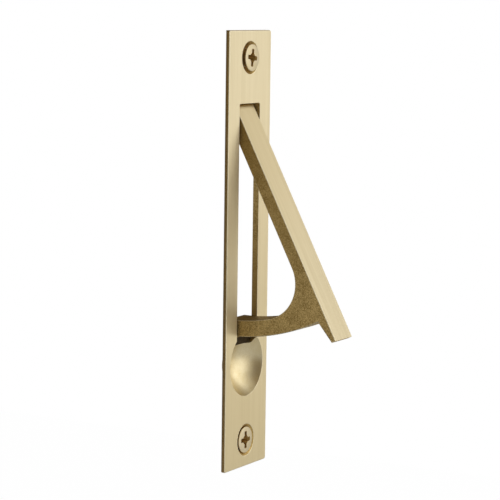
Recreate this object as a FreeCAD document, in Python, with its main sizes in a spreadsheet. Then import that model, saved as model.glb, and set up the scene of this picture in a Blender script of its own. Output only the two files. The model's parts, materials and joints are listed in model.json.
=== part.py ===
"""Pocket door edge pull: a brass faceplate with a thumb dish, and an arm that swings out of it.

Frame: +Z runs up the plate, y = 0 is the plate's back, which lies on the mortise's floor, +Y goes
into the door's edge and +X is to the right seen from the front. The origin is half way between the
two screws. The pivot's axis lies in the plate's back, and the arm is drawn swung out against its
stop. All lengths are in millimetres.
"""
import FreeCAD, Part
import math
import os

import Sketcher
from FreeCAD import Placement, Rotation, Vector

# Driving dimensions: alias, value, meaning.
SIZES = [
    ("plate_height", 101.6, "faceplate, end to end"),
    ("plate_width", 19.05, "faceplate, side to side"),
    ("plate_thickness", 1.5, "faceplate, front to back"),
    ("plate_corner_radius", 0.6, "faceplate corners seen from the front"),
    ("plate_rear_bevel", 1.0, "bevel of the long sides, which lets the plate drop into its mortise"),
    ("plate_edge_radius", 0.25, "eased front edge of the faceplate"),
    ("slot_width", 9.2, "slot the arm swings through"),
    ("slot_corner_radius", 0.4, "corners of the slot"),
    ("dish_offset", 4.3, "thumb dish's middle below the slot's lower end"),
    ("dish_rim_radius", 7.48, "dish where it meets the front face"),
    ("dish_depth", 4.2, "deepest point of the dish"),
    ("dish_wall", 0.9, "metal behind the dish"),
    ("screw_inset", 6.25, "screw holes from the plate's ends"),
    ("hole_diameter", 4.1, "screw hole"),
    ("countersink_diameter", 7.66, "countersink at the front face"),
    ("countersink_angle", 102.5, "full angle of the countersink"),
    ("screw_head_diameter", 6.2, "flat screw head"),
    ("screw_head_angle", 75.0, "full angle under the head"),
    ("screw_shank_diameter", 3.16, "screw shank over its thread"),
    ("screw_length", 6.35, "screw, head to tip"),
    ("screw_point_length", 2.0, "pointed end of the screw"),
    ("screw_seat_clearance", 0.05, "between the head's cone and the hole's edge"),
    ("recess_span", 4.1, "cross recess, tip to tip"),
    ("recess_width", 1.0, "one wing of the recess"),
    ("recess_core", 2.2, "square middle of the recess, across its flats"),
    ("recess_depth", 1.6, "cross recess"),
    ("recess_draft", 0.55, "how much each wing's end leans in, per depth"),
    ("upper_screw_lift", 0.55, "how far the upper screw stands proud"),
    ("upper_screw_turn", 7.0, "turn of the upper screw's cross"),
    ("pivot_height", 30.5, "pivot above the plate's middle"),
    ("pin_diameter", 1.5, "pivot pin"),
    ("pin_running_clearance", 0.05, "between the pin and the arm's bore"),
    ("pin_saddle_clearance", 0.02, "between the pin and the saddles that hold it"),
    ("saddle_mouth", 1.3, "rear mouth of a saddle, pressed in behind the pin"),
    ("lug_width", 1.6, "lug beside the slot"),
    ("lug_height", 9.4, "lug along the plate, up past the slot's upper end"),
    ("lug_reach", 1.35, "lug behind the plate"),
    ("lug_corner_radius", 1.0, "rear corners of a lug"),
    ("arm_open_angle", 27.3, "arm from flush to its stop"),
    ("arm_side_clearance", 0.5, "between the arm and the slot's sides"),
    ("arm_top_clearance", 0.2, "between the arm's upper end and the slot"),
    ("arm_top_radius", 3.5, "arm's upper end about the pivot"),
    ("arm_nose_radius", 0.9, "front of the arm's upper end"),
    ("arm_heel_radius", 1.2, "back of the arm's upper end"),
    ("arm_edge_radius", 0.2, "eased edges of the arm"),
    ("bar_thickness", 3.1, "straight bar of the arm"),
    ("finger_radius", 8.5, "finger opening where the bar turns into the hook"),
    ("hook_outer_radius", 50.1, "hook's lower face about the pivot"),
    ("hook_thickness", 3.85, "hook, upper face to lower face"),
    ("lip_overhang", 5.55, "arm's free end beyond the hook's lower face"),
    ("lip_root_thickness", 2.35, "lip at the hook"),
    ("lip_tip_thickness", 1.15, "lip at its free end"),
    ("toe_length", 2.4, "toe beyond the hook's lower face"),
    ("toe_side_clearance", 0.2, "between the toe and the slot's sides"),
    ("toe_clearance", 0.3, "between the hook's toe and the slot's lower end"),
    ("stop_gap", 0.1, "between the open arm's ears and the plate's back"),
    ("tail_thickness", 1.4, "tail of the hook behind the plate"),
    ("ear_overlap", 1.0, "how far each stop ear reaches behind the plate"),
    ("ear_drop", 0.6, "stop ears beyond the hook's lower face"),
    ("ear_height", 3.2, "stop ears along the plate"),
]

ORIGIN = (-1, 1)


def make_sheet(doc):
    """Write the driving dimensions into a spreadsheet, one aliased cell each."""
    sheet = doc.addObject("Spreadsheet::Sheet", "Sizes")
    for row, (alias, value, meaning) in enumerate(SIZES, start=1):
        sheet.set(f"A{row}", alias)
        sheet.set(f"B{row}", str(value))
        sheet.setAlias(f"B{row}", alias)
        sheet.set(f"C{row}", meaning)
    doc.recompute()
    return sheet


class Sizes:
    """The sheet's values as plain numbers, for the first placing of sketch points."""

    def __init__(self, sheet):
        for alias, _, _ in SIZES:
            setattr(self, alias, float(sheet.get(alias)))
        self.screw_spacing = self.plate_height - 2 * self.screw_inset
        self.slot_half = self.slot_width / 2
        self.lug_outer = self.slot_half + self.lug_width
        self.arm_width = self.slot_width - 2 * self.arm_side_clearance
        self.slot_top = self.pivot_height + self.arm_top_radius + self.arm_top_clearance
        self.hook_inner_radius = self.hook_outer_radius - self.hook_thickness
        self.lip_reach = self.hook_outer_radius + self.lip_overhang
        self.toe_radius = self.hook_outer_radius + self.toe_length
        self.ear_outer_radius = self.hook_outer_radius + self.ear_drop
        self.ear_inner_radius = self.ear_outer_radius - self.ear_height
        self.tail_offset = self.stop_gap + self.tail_thickness
        self.slot_bottom = self.toe_radius + self.toe_clearance - self.pivot_height
        self.dish_drop = self.slot_bottom + self.dish_offset
        self.dish_radius = (self.dish_rim_radius ** 2 + self.dish_depth ** 2) / (2 * self.dish_depth)


# Expressions that several features share.
ARM_WIDTH = "Sizes.slot_width - 2 * Sizes.arm_side_clearance"
SCREW_HEIGHT = "Sizes.plate_height / 2 - Sizes.screw_inset"
SLOT_TOP = "Sizes.pivot_height + Sizes.arm_top_radius + Sizes.arm_top_clearance"
HOOK_INNER_RADIUS = "Sizes.hook_outer_radius - Sizes.hook_thickness"
LIP_REACH = "Sizes.hook_outer_radius + Sizes.lip_overhang"
TOE_RADIUS = "Sizes.hook_outer_radius + Sizes.toe_length"
TAIL_OFFSET = "Sizes.stop_gap + Sizes.tail_thickness"
SLOT_BOTTOM = TOE_RADIUS + " + Sizes.toe_clearance - Sizes.pivot_height"
DISH_DROP = SLOT_BOTTOM + " + Sizes.dish_offset"
DISH_RADIUS = "(Sizes.dish_rim_radius ^ 2 + Sizes.dish_depth ^ 2) / (2 * Sizes.dish_depth)"
LUG_SPAN = "Sizes.slot_width + 2 * Sizes.lug_width"
EAR_SPAN = "Sizes.slot_width + 2 * Sizes.ear_overlap"
EAR_OUTER_RADIUS = "Sizes.hook_outer_radius + Sizes.ear_drop"
EAR_INNER_RADIUS = EAR_OUTER_RADIUS + " - Sizes.ear_height"
TOE_SPAN = "Sizes.slot_width - 2 * Sizes.toe_side_clearance"


def add_body(doc, label):
    """Add a body whose label names the sub-part."""
    body = doc.addObject("PartDesign::Body", label)
    body.Label = label
    return body


def add_sketch(body, name, plane_role):
    """Add a sketch on one of the body's own origin planes."""
    sketch = body.newObject("Sketcher::SketchObject", name)
    for plane in body.Origin.OriginFeatures:
        if plane.Role == plane_role:
            sketch.AttachmentSupport = [(plane, "")]
    sketch.MapMode = "FlatFace"
    return sketch


def bind(item, **expressions):
    """Tie properties of an object to expressions over the sheet."""
    for prop, expression in expressions.items():
        item.setExpression(prop, expression)


def dimension(sketch, kind, *references, value, size):
    """Add a dimension to a sketch and tie it to an expression over the sheet."""
    index = sketch.addConstraint(Sketcher.Constraint(kind, *references, value))
    sketch.setExpression(f"Constraints[{index}]", size)


def relate(sketch, kind, *references):
    """Add a constraint that has no value."""
    sketch.addConstraint(Sketcher.Constraint(kind, *references))


def add_line(sketch, start, end):
    return sketch.addGeometry(Part.LineSegment(Vector(*start, 0), Vector(*end, 0)), False)


def add_arc(sketch, centre, start, end):
    """Add the arc that runs counterclockwise from start to end about centre."""
    radius = math.hypot(start[0] - centre[0], start[1] - centre[1])
    circle = Part.Circle(Vector(*centre, 0), Vector(0, 0, 1), radius)
    first = math.atan2(start[1] - centre[1], start[0] - centre[0])
    last = math.atan2(end[1] - centre[1], end[0] - centre[0])
    return sketch.addGeometry(Part.ArcOfCircle(circle, first, last), False)


def add_rectangle(sketch, left, low, right, high):
    """Add a rectangle and return its bottom, right, top and left lines."""
    corners = [(left, low), (right, low), (right, high), (left, high)]
    lines = [add_line(sketch, corners[i], corners[(i + 1) % 4]) for i in range(4)]
    for i, line in enumerate(lines):
        relate(sketch, "Coincident", line, 2, lines[(i + 1) % 4], 1)
        relate(sketch, "Vertical" if i % 2 else "Horizontal", line)
    return lines


def pad(body, sketch, name, length, symmetric=True):
    """Pad a sketch, evenly to both sides or, from the front plane, into the door."""
    feature = body.newObject("PartDesign::Pad", name)
    feature.Profile = sketch
    if symmetric:
        feature.SideType = "Symmetric"
    else:
        feature.Reversed = True
    bind(feature, Length=length)
    return feature


def pocket(body, sketch, name, length=None):
    """Cut a sketch right through from the front plane, or evenly to both sides by a length."""
    feature = body.newObject("PartDesign::Pocket", name)
    feature.Profile = sketch
    if length is None:
        feature.Type = "ThroughAll"
    else:
        feature.SideType = "Symmetric"
        bind(feature, Length=length)
    return feature


def edges_where(feature, test):
    """Names of a feature's edges whose end points all pass a test."""
    names = []
    for number, edge in enumerate(feature.Shape.Edges, start=1):
        if all(test(vertex.Point) for vertex in edge.Vertexes):
            names.append(f"Edge{number}")
    return names


def ease(body, kind, name, base, edges, size):
    """Fillet or chamfer some edges of the feature before."""
    feature = body.newObject(f"PartDesign::{kind}", name)
    feature.Base = (base, edges)
    bind(feature, **{"Radius" if kind == "Fillet" else "Size": size})
    return feature


def near(value, target):
    return abs(value - target) < 1e-4


def make_blank(doc, body, size):
    """The plate itself: long sides bevelled behind, rounded corners, eased in front."""
    sketch = add_sketch(body, "plate_outline", "XZ_Plane")
    half_width = size.plate_width / 2
    half_height = size.plate_height / 2
    bottom, right, top, _ = add_rectangle(sketch, -half_width, -half_height, half_width, half_height)
    relate(sketch, "Symmetric", bottom, 1, top, 1, *ORIGIN)
    dimension(sketch, "DistanceX", bottom, 1, bottom, 2, value=size.plate_width, size="Sizes.plate_width")
    dimension(sketch, "DistanceY", right, 1, right, 2, value=size.plate_height, size="Sizes.plate_height")
    blank = pad(body, sketch, "plate_blank", "Sizes.plate_thickness", symmetric=False)
    doc.recompute()

    rear_long = [
        name for name in edges_where(blank, lambda point: near(point.y, size.plate_thickness))
        if blank.Shape.getElement(name).BoundBox.ZLength > half_height
    ]
    bevel = ease(body, "Chamfer", "plate_bevel", blank, rear_long, "Sizes.plate_rear_bevel")
    doc.recompute()
    across = [
        name for name in edges_where(bevel, lambda point: near(abs(point.x), half_width))
        if bevel.Shape.getElement(name).BoundBox.ZLength < half_height
    ]
    corners = ease(body, "Fillet", "plate_corners", bevel, across, "Sizes.plate_corner_radius")
    doc.recompute()
    front = edges_where(corners, lambda point: near(point.y, 0))
    ease(body, "Fillet", "plate_front_edge", corners, front, "Sizes.plate_edge_radius")
    doc.recompute()


def dish_section(body, name, size, back, radius_size, radius):
    """Half section of a ball cut flat at y = back, on the dish's axis, ready to be turned."""
    sketch = add_sketch(body, name, "YZ_Plane")
    sketch.AttachmentOffset = Placement(Vector(0, -size.dish_drop, 0), Rotation())
    bind(sketch, **{"AttachmentOffset.Base.y": f"-({DISH_DROP})"})
    centre = (size.dish_depth - size.dish_radius, 0)
    tip = (centre[0] + radius, 0)
    rim = (back, math.sqrt(radius ** 2 - (back - centre[0]) ** 2))
    axis = add_line(sketch, (back, 0), tip)
    ball = add_arc(sketch, centre, tip, rim)
    face = add_line(sketch, rim, (back, 0))
    relate(sketch, "Coincident", axis, 2, ball, 1)
    relate(sketch, "Coincident", ball, 2, face, 1)
    relate(sketch, "Coincident", face, 2, axis, 1)
    relate(sketch, "PointOnObject", ball, 3, -1)
    relate(sketch, "PointOnObject", axis, 1, -1)
    relate(sketch, "Horizontal", axis)
    relate(sketch, "Vertical", face)
    dimension(sketch, "Radius", ball, value=radius, size=radius_size)
    dimension(
        sketch, "DistanceX", ball, 3, *ORIGIN, value=-centre[0],
        size=DISH_RADIUS + " - Sizes.dish_depth",
    )
    return sketch, axis


def turn(body, kind, sketch, name):
    """Revolve a half section right round the sketch's level axis."""
    feature = body.newObject(f"PartDesign::{kind}", name)
    feature.Profile = sketch
    feature.ReferenceAxis = (sketch, ["H_Axis"])
    feature.Angle = 360.0
    return feature


def make_faceplate(doc, size):
    """One casting: plate, pivot lugs, slot, thumb dish with its boss, and two screw holes."""
    body = add_body(doc, "faceplate")
    make_blank(doc, body, size)

    middle = size.plate_thickness / 2
    boss, axis = dish_section(
        body, "dish_boss_section", size, middle,
        DISH_RADIUS + " + Sizes.dish_wall", size.dish_radius + size.dish_wall,
    )
    dimension(boss, "DistanceX", *ORIGIN, axis, 1, value=middle, size="Sizes.plate_thickness / 2")
    turn(body, "Revolution", boss, "dish_boss")

    lugs = add_sketch(body, "lug_section", "YZ_Plane")
    make_lug_section(lugs, size, middle)
    pad(body, lugs, "lug_block", LUG_SPAN)

    slot = add_sketch(body, "slot_outline", "XZ_Plane")
    bottom, _, top, _ = add_rectangle(
        slot, -size.slot_half, -size.slot_bottom, size.slot_half, size.slot_top
    )
    dimension(slot, "DistanceX", bottom, 1, *ORIGIN, value=size.slot_half, size="Sizes.slot_width / 2")
    dimension(slot, "DistanceX", bottom, 1, bottom, 2, value=size.slot_width, size="Sizes.slot_width")
    dimension(slot, "DistanceY", *ORIGIN, top, 1, value=size.slot_top, size=SLOT_TOP)
    dimension(slot, "DistanceY", bottom, 1, *ORIGIN, value=size.slot_bottom, size=SLOT_BOTTOM)
    cut = pocket(body, slot, "slot")
    doc.recompute()

    def at_slot_corner(point):
        ends = (size.slot_top, -size.slot_bottom)
        return near(abs(point.x), size.slot_half) and any(near(point.z, end) for end in ends)

    corners = [
        name for name in edges_where(cut, at_slot_corner)
        if cut.Shape.getElement(name).BoundBox.YLength > middle
    ]
    ease(body, "Fillet", "slot_corners", cut, corners, "Sizes.slot_corner_radius")

    front = -size.dish_depth
    dish, axis = dish_section(body, "dish_section", size, front, DISH_RADIUS, size.dish_radius)
    dimension(dish, "DistanceX", axis, 1, *ORIGIN, value=-front, size="Sizes.dish_depth")
    turn(body, "Groove", dish, "thumb_dish")

    saddle = add_sketch(body, "saddle_section", "YZ_Plane")
    make_saddle_section(saddle, size)
    pocket(body, saddle, "pin_saddles", LUG_SPAN)

    make_screw_holes(doc, body, size)
    body.Placement.Base.y = -size.plate_thickness
    bind(body, **{"Placement.Base.y": "-Sizes.plate_thickness"})
    return body


def make_lug_section(sketch, size, root):
    """Side view of a lug: square in the plate, rounded at the back."""
    radius = size.lug_corner_radius
    back = size.plate_thickness + size.lug_reach
    low = size.pivot_height - size.lug_height / 2
    high = size.pivot_height + size.lug_height / 2
    bottom = add_line(sketch, (root, low), (back - radius, low))
    lower = add_arc(sketch, (back - radius, low + radius), (back - radius, low), (back, low + radius))
    rear = add_line(sketch, (back, low + radius), (back, high - radius))
    upper = add_arc(sketch, (back - radius, high - radius), (back, high - radius), (back - radius, high))
    top = add_line(sketch, (back - radius, high), (root, high))
    face = add_line(sketch, (root, high), (root, low))
    for first, second in ((bottom, lower), (lower, rear), (rear, upper), (upper, top)):
        relate(sketch, "Tangent", first, 2, second, 1)
    relate(sketch, "Coincident", top, 2, face, 1)
    relate(sketch, "Coincident", face, 2, bottom, 1)
    for level in (bottom, top):
        relate(sketch, "Horizontal", level)
    for upright in (rear, face):
        relate(sketch, "Vertical", upright)
    relate(sketch, "Equal", lower, upper)
    dimension(sketch, "Radius", lower, value=radius, size="Sizes.lug_corner_radius")
    dimension(sketch, "DistanceX", *ORIGIN, face, 2, value=root, size="Sizes.plate_thickness / 2")
    dimension(
        sketch, "DistanceX", *ORIGIN, rear, 1, value=back,
        size="Sizes.plate_thickness + Sizes.lug_reach",
    )
    dimension(
        sketch, "DistanceY", *ORIGIN, face, 2, value=low,
        size="Sizes.pivot_height - Sizes.lug_height / 2",
    )
    dimension(sketch, "DistanceY", face, 2, face, 1, value=size.lug_height, size="Sizes.lug_height")


def make_saddle_section(sketch, size):
    """Round seat for the pin with a narrower mouth to the rear, closed behind the lug."""
    radius = size.pin_diameter / 2 + size.pin_saddle_clearance
    half_mouth = size.saddle_mouth / 2
    centre = (size.plate_thickness, size.pivot_height)
    inner = centre[0] + math.sqrt(radius ** 2 - half_mouth ** 2)
    outer = size.plate_thickness + 2 * size.lug_reach
    low = centre[1] - half_mouth
    high = centre[1] + half_mouth
    seat = add_arc(sketch, centre, (inner, high), (inner, low))
    lower = add_line(sketch, (inner, low), (outer, low))
    end = add_line(sketch, (outer, low), (outer, high))
    upper = add_line(sketch, (outer, high), (inner, high))
    for first, second in ((seat, lower), (lower, end), (end, upper), (upper, seat)):
        relate(sketch, "Coincident", first, 2, second, 1)
    for level in (lower, upper):
        relate(sketch, "Horizontal", level)
    relate(sketch, "Vertical", end)
    dimension(
        sketch, "Radius", seat, value=radius,
        size="Sizes.pin_diameter / 2 + Sizes.pin_saddle_clearance",
    )
    dimension(sketch, "DistanceX", *ORIGIN, seat, 3, value=centre[0], size="Sizes.plate_thickness")
    dimension(sketch, "DistanceY", *ORIGIN, seat, 3, value=centre[1], size="Sizes.pivot_height")
    dimension(sketch, "DistanceY", end, 1, end, 2, value=size.saddle_mouth, size="Sizes.saddle_mouth")
    dimension(sketch, "DistanceY", end, 1, seat, 3, value=half_mouth, size="Sizes.saddle_mouth / 2")
    dimension(
        sketch, "DistanceX", *ORIGIN, end, 1, value=outer,
        size="Sizes.plate_thickness + 2 * Sizes.lug_reach",
    )


def make_screw_holes(doc, body, size):
    """Two countersunk holes on the plate's middle line."""
    sketch = add_sketch(body, "hole_centres", "XZ_Plane")
    radius = size.hole_diameter / 2
    half = size.screw_spacing / 2
    holes = []
    for height in (half, -half):
        circle = Part.Circle(Vector(0, height, 0), Vector(0, 0, 1), radius)
        holes.append(sketch.addGeometry(circle, False))
    upper, lower = holes
    relate(sketch, "Symmetric", upper, 3, lower, 3, *ORIGIN)
    relate(sketch, "PointOnObject", upper, 3, -2)
    relate(sketch, "Equal", upper, lower)
    dimension(sketch, "Diameter", upper, value=size.hole_diameter, size="Sizes.hole_diameter")
    dimension(sketch, "DistanceY", *ORIGIN, upper, 3, value=half, size=SCREW_HEIGHT)
    doc.recompute()
    hole = body.newObject("PartDesign::Hole", "screw_holes")
    hole.Profile = sketch
    hole.DepthType = "ThroughAll"
    hole.HoleCutType = "Countersink"
    hole.HoleCutCustomValues = True
    bind(
        hole,
        Diameter="Sizes.hole_diameter",
        HoleCutDiameter="Sizes.countersink_diameter",
        HoleCutCountersinkAngle="Sizes.countersink_angle",
    )


def polar_line(size, offset, radius):
    """Point at a radius from the pivot, on a line that is level with the plate when the arm is open."""
    angle = math.radians(size.arm_open_angle)
    along = math.sqrt(radius ** 2 - offset ** 2)
    return (
        offset * math.cos(angle) + along * math.sin(angle),
        offset * math.sin(angle) - along * math.cos(angle),
    )


def arm_points(size):
    """Corner and tangent points of the arm's side view, closed, with the pivot at the origin."""
    front = -size.plate_thickness
    back = front + size.bar_thickness

    def beside_bar(offset, distance, side):
        """Circle centre at an offset behind the bar's back and a distance from the pivot."""
        across = back + offset
        return across, side * math.sqrt(distance ** 2 - across ** 2)

    def pushed_out(centre, ratio):
        return tuple(ratio * value for value in centre)

    finger_reach = size.hook_inner_radius - size.finger_radius
    finger = beside_bar(size.finger_radius, finger_reach, -1)
    heel_reach = size.arm_top_radius - size.arm_heel_radius
    heel = beside_bar(-size.arm_heel_radius, heel_reach, 1)
    nose_x = front + size.arm_nose_radius
    nose_reach = size.arm_top_radius - size.arm_nose_radius
    nose = (nose_x, math.sqrt(nose_reach ** 2 - nose_x ** 2))
    root = front + size.lip_root_thickness
    return {
        "front_top": (front, nose[1]),
        "tip_front": (front, -size.lip_reach),
        "tip_back": (front + size.lip_tip_thickness, -size.lip_reach),
        "lip_root": (root, -math.sqrt(size.hook_outer_radius ** 2 - root ** 2)),
        "hook_end": polar_line(size, size.stop_gap, size.hook_outer_radius),
        "toe_front": polar_line(size, size.stop_gap, size.toe_radius),
        "toe_back": polar_line(size, size.tail_offset, size.toe_radius),
        "tail_top": polar_line(size, size.tail_offset, size.hook_inner_radius),
        "finger_hook": pushed_out(finger, size.hook_inner_radius / finger_reach),
        "finger_bar": (back, finger[1]),
        "heel_bar": (back, heel[1]),
        "heel_top": pushed_out(heel, size.arm_top_radius / heel_reach),
        "nose_top": pushed_out(nose, size.arm_top_radius / nose_reach),
        "finger": finger,
        "heel": heel,
        "nose": nose,
        "pivot": (0, 0),
    }


def make_arm_section(sketch, size):
    """Side view of the arm: straight bar, finger opening, hook about the pivot, toe and lip."""
    at = arm_points(size)
    front = add_line(sketch, at["front_top"], at["tip_front"])
    tip = add_line(sketch, at["tip_front"], at["tip_back"])
    lip = add_line(sketch, at["tip_back"], at["lip_root"])
    hook_outer = add_arc(sketch, at["pivot"], at["lip_root"], at["hook_end"])
    stop = add_line(sketch, at["hook_end"], at["toe_front"])
    toe = add_arc(sketch, at["pivot"], at["toe_front"], at["toe_back"])
    tail = add_line(sketch, at["toe_back"], at["tail_top"])
    hook_inner = add_arc(sketch, at["pivot"], at["finger_hook"], at["tail_top"])
    finger = add_arc(sketch, at["finger"], at["finger_bar"], at["finger_hook"])
    bar = add_line(sketch, at["finger_bar"], at["heel_bar"])
    heel = add_arc(sketch, at["heel"], at["heel_bar"], at["heel_top"])
    top = add_arc(sketch, at["pivot"], at["heel_top"], at["nose_top"])
    nose = add_arc(sketch, at["nose"], at["nose_top"], at["front_top"])

    relate(sketch, "Coincident", front, 2, tip, 1)
    relate(sketch, "Coincident", tip, 2, lip, 1)
    relate(sketch, "Coincident", lip, 2, hook_outer, 1)
    relate(sketch, "Coincident", hook_outer, 2, stop, 1)
    relate(sketch, "Coincident", stop, 2, toe, 1)
    relate(sketch, "Coincident", toe, 2, tail, 1)
    relate(sketch, "Coincident", tail, 2, hook_inner, 2)
    relate(sketch, "Tangent", hook_inner, 1, finger, 2)
    relate(sketch, "Tangent", finger, 1, bar, 1)
    relate(sketch, "Tangent", bar, 2, heel, 1)
    relate(sketch, "Tangent", heel, 2, top, 1)
    relate(sketch, "Tangent", top, 2, nose, 1)
    relate(sketch, "Tangent", nose, 2, front, 1)
    for arc in (hook_outer, toe, hook_inner, top):
        relate(sketch, "Coincident", arc, 3, *ORIGIN)
    relate(sketch, "Vertical", front)
    relate(sketch, "Vertical", bar)
    relate(sketch, "Horizontal", tip)
    relate(sketch, "Parallel", stop, tail)

    radii = (
        (hook_outer, size.hook_outer_radius, "Sizes.hook_outer_radius"),
        (toe, size.toe_radius, TOE_RADIUS),
        (hook_inner, size.hook_inner_radius, HOOK_INNER_RADIUS),
        (finger, size.finger_radius, "Sizes.finger_radius"),
        (heel, size.arm_heel_radius, "Sizes.arm_heel_radius"),
        (top, size.arm_top_radius, "Sizes.arm_top_radius"),
        (nose, size.arm_nose_radius, "Sizes.arm_nose_radius"),
    )
    for arc, radius, expression in radii:
        dimension(sketch, "Radius", arc, value=radius, size=expression)
    dimension(
        sketch, "DistanceX", front, 2, *ORIGIN, value=size.plate_thickness,
        size="Sizes.plate_thickness",
    )
    dimension(sketch, "DistanceY", front, 2, *ORIGIN, value=size.lip_reach, size=LIP_REACH)
    dimension(
        sketch, "DistanceX", tip, 1, tip, 2, value=size.lip_tip_thickness,
        size="Sizes.lip_tip_thickness",
    )
    dimension(
        sketch, "DistanceX", front, 2, lip, 2, value=size.lip_root_thickness,
        size="Sizes.lip_root_thickness",
    )
    dimension(
        sketch, "DistanceX", front, 1, bar, 1, value=size.bar_thickness, size="Sizes.bar_thickness",
    )
    dimension(
        sketch, "Angle", front, 1, stop, 1, value=math.radians(size.arm_open_angle),
        size="Sizes.arm_open_angle",
    )
    dimension(sketch, "Distance", *ORIGIN, stop, value=size.stop_gap, size="Sizes.stop_gap")
    dimension(sketch, "Distance", *ORIGIN, tail, value=size.tail_offset, size=TAIL_OFFSET)


def make_tail_section(sketch, size, inner_radius, inner_size, outer_radius, outer_size):
    """Side view of a stretch of the hook's tail, between two radii about the pivot."""
    low_front = polar_line(size, size.stop_gap, outer_radius)
    low_back = polar_line(size, size.tail_offset, outer_radius)
    high_back = polar_line(size, size.tail_offset, inner_radius)
    high_front = polar_line(size, size.stop_gap, inner_radius)
    outer = add_arc(sketch, (0, 0), low_front, low_back)
    back = add_line(sketch, low_back, high_back)
    inner = add_arc(sketch, (0, 0), high_front, high_back)
    face = add_line(sketch, high_front, low_front)
    relate(sketch, "Coincident", outer, 2, back, 1)
    relate(sketch, "Coincident", back, 2, inner, 2)
    relate(sketch, "Coincident", inner, 1, face, 1)
    relate(sketch, "Coincident", face, 2, outer, 1)
    relate(sketch, "Coincident", outer, 3, *ORIGIN)
    relate(sketch, "Coincident", inner, 3, *ORIGIN)
    relate(sketch, "Parallel", face, back)
    dimension(sketch, "Radius", outer, value=outer_radius, size=outer_size)
    dimension(sketch, "Radius", inner, value=inner_radius, size=inner_size)
    dimension(
        sketch, "Angle", -2, 1, face, 1, value=math.radians(size.arm_open_angle) - math.pi,
        size="Sizes.arm_open_angle - 180",
    )
    dimension(sketch, "Distance", *ORIGIN, face, value=size.stop_gap, size="Sizes.stop_gap")
    dimension(sketch, "Distance", *ORIGIN, back, value=size.tail_offset, size=TAIL_OFFSET)


def make_pull_arm(doc, size):
    """One casting, drawn closed about its pivot and then swung open by its placement."""
    body = add_body(doc, "pull_arm")
    section = add_sketch(body, "arm_section", "YZ_Plane")
    make_arm_section(section, size)
    bar = pad(body, section, "arm_blank", ARM_WIDTH)
    doc.recompute()

    def on_front_edge(point):
        return near(point.y, -size.plate_thickness) and near(abs(point.x), size.arm_width / 2)

    edges = [
        name for name in edges_where(bar, on_front_edge)
        if near(bar.Shape.getElement(name).BoundBox.XLength, 0)
    ]
    ease(body, "Fillet", "arm_edges", bar, edges, "Sizes.arm_edge_radius")

    ears = add_sketch(body, "ear_section", "YZ_Plane")
    make_tail_section(
        ears, size, size.ear_inner_radius, EAR_INNER_RADIUS, size.ear_outer_radius, EAR_OUTER_RADIUS
    )
    pad(body, ears, "stop_ears", EAR_SPAN)
    toe = add_sketch(body, "toe_section", "YZ_Plane")
    make_tail_section(
        toe, size, size.hook_outer_radius, "Sizes.hook_outer_radius", size.toe_radius, TOE_RADIUS
    )
    pad(body, toe, "wide_toe", TOE_SPAN)

    bore = add_sketch(body, "bore_section", "YZ_Plane")
    radius = size.pin_diameter / 2 + size.pin_running_clearance
    circle = bore.addGeometry(Part.Circle(Vector(0, 0, 0), Vector(0, 0, 1), radius), False)
    relate(bore, "Coincident", circle, 3, *ORIGIN)
    dimension(
        bore, "Radius", circle, value=radius,
        size="Sizes.pin_diameter / 2 + Sizes.pin_running_clearance",
    )
    pocket(body, bore, "pivot_bore", EAR_SPAN)

    body.Placement = Placement(
        Vector(0, 0, size.pivot_height),
        Rotation(Vector(-1, 0, 0), size.arm_open_angle),
    )
    bind(body, **{
        "Placement.Base.z": "Sizes.pivot_height",
        "Placement.Rotation.Angle": "Sizes.arm_open_angle",
    })
    return body


def make_pivot_pin(doc, size):
    """A plain pin that lies in the two saddles and through the arm's bore."""
    pin = doc.addObject("Part::Cylinder", "pivot_pin")
    pin.Label = "pivot_pin"
    pin.Placement = Placement(
        Vector(-size.lug_outer, 0, size.pivot_height),
        Rotation(Vector(0, 1, 0), 90),
    )
    bind(pin, **{
        "Radius": "Sizes.pin_diameter / 2",
        "Height": LUG_SPAN + " - 2 * Sizes.pin_saddle_clearance",
        "Placement.Base.x": "Sizes.pin_saddle_clearance - (" + LUG_SPAN + ") / 2",
        "Placement.Base.z": "Sizes.pivot_height",
    })
    return pin


# Depth of a seated screw's head face behind the front face: its cone rests on the hole's edge.
HEAD_FACE = (
    "(Sizes.countersink_diameter - Sizes.hole_diameter) / 2 / tan(Sizes.countersink_angle / 2 * 1 deg)"
    " - (Sizes.screw_head_diameter / 2 - Sizes.hole_diameter / 2 + Sizes.screw_seat_clearance)"
    " / tan(Sizes.screw_head_angle / 2 * 1 deg)"
)
HEAD_HEIGHT = (
    "(Sizes.screw_head_diameter - Sizes.screw_shank_diameter) / 2"
    " / tan(Sizes.screw_head_angle / 2 * 1 deg)"
)
INTO_DOOR = Rotation(Vector(1, 0, 0), -90)


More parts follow.
